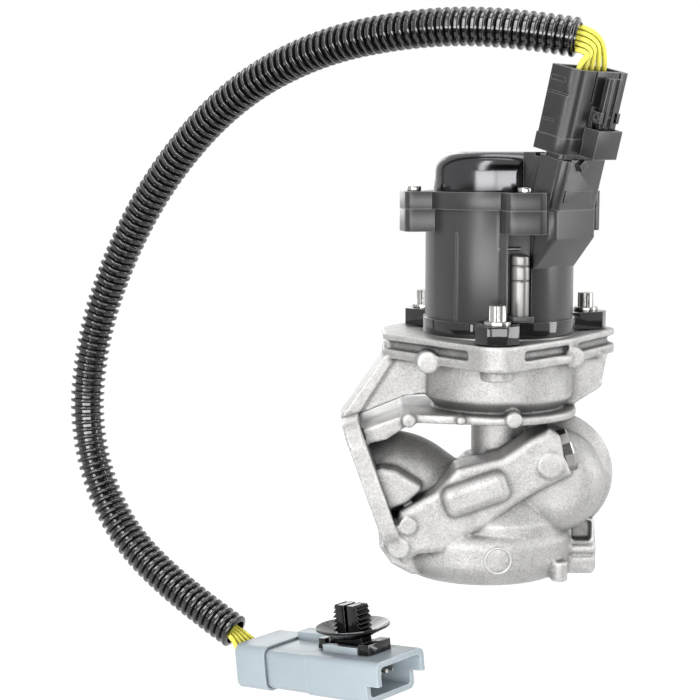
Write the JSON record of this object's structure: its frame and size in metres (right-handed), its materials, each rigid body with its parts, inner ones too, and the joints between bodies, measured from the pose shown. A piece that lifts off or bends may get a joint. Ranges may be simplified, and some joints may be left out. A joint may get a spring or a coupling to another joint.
{
  "type": "exhaust gas recirculation valve",
  "caption": "Solenoid exhaust gas recirculation valve: die-cast housing with leaning flange and hose spigot, black actuator with steel dome, and a wired connector.",
  "frame": {"origin": "middle of the gas port on the sealing face of the mounting flange", "axes": "+Z along the valve axis from the bowl up to the actuator, +X from the flange towards the valve axis"},
  "size_m": [0.2078, 0.1178, 0.2475],
  "materials": {
    "die_cast_aluminium": "satin",
    "seat_steel": "satin",
    "sintered_bush": "matte",
    "graphite_seal": "matte",
    "gasket_sheet": "satin",
    "black_ring": "gloss",
    "zinc_bolt": "satin",
    "black_housing": "satin",
    "ground_steel": "brushed",
    "pole_steel": "satin",
    "bobbin_plastic": "satin",
    "copper_wire": "satin",
    "spring_steel": "satin",
    "dome_steel": "polished",
    "sensor_ceramic": "matte",
    "carrier_plastic": "satin",
    "tin_terminal": "satin",
    "rubber_seal": "matte",
    "black_plug": "satin",
    "yellow_wire": "satin",
    "conduit_plastic": "gloss",
    "grey_connector": "satin",
    "black_clip": "satin"
  },
  "bodies": {
    "body": {"valve_housing": "die_cast_aluminium", "closing_cap": "gasket_sheet", "valve_seat": "seat_steel", "stem_guide": "sintered_bush", "stem_seal": "graphite_seal", "seal_retainer": "gasket_sheet", "housing_gasket": "gasket_sheet", "lower_ring": "black_ring", "flange_bolts": "zinc_bolt", "actuator_body": "black_housing", "slot_column": "ground_steel", "locating_pin": "ground_steel", "pole_plate": "pole_steel", "flux_tube": "pole_steel", "armature_bearing": "graphite_seal", "coil_bobbin": "bobbin_plastic", "coil_winding": "copper_wire", "return_spring": "spring_steel", "top_cover": "black_housing", "tower_terminals": "tin_terminal", "cover_screws": "zinc_bolt", "dome_cap": "dome_steel", "dome_seal": "rubber_seal", "sensor_carrier": "carrier_plastic", "sensor_board": "sensor_ceramic", "plug_housing": "black_plug", "tower_seal": "rubber_seal", "wire_seals": "rubber_seal", "valve_wires": "yellow_wire", "conduit": "conduit_plastic", "connector_wires": "yellow_wire", "connector_collar": "grey_connector", "connector_housing": "grey_connector", "connector_pins": "tin_terminal", "cable_clip": "black_clip"},
    "valve_train": {"valve_stem": "seat_steel", "valve_head": "seat_steel", "armature": "pole_steel", "spring_retainer": "spring_steel", "sensor_plunger": "carrier_plastic"},
    "latch": {"plug_latch": "black_plug"}
  },
  "joints": [
    {"name": "valve_lift", "type": "slide", "parent": "body", "child": "valve_train", "axis": [0, 0, 1], "range_m": [0, 0.005], "stiffness_N_per_m": 900, "springref_m": -0.002, "deforming": ["return_spring"]},
    {"name": "latch_rock", "type": "hinge", "parent": "body", "child": "latch", "pos_m": [0.07943, -0.02839, 0.12696], "axis": [-0.7071, -0.7071, 0], "range_deg": [0, 5], "stiffness_Nm_per_rad": 0.4}
  ]
}
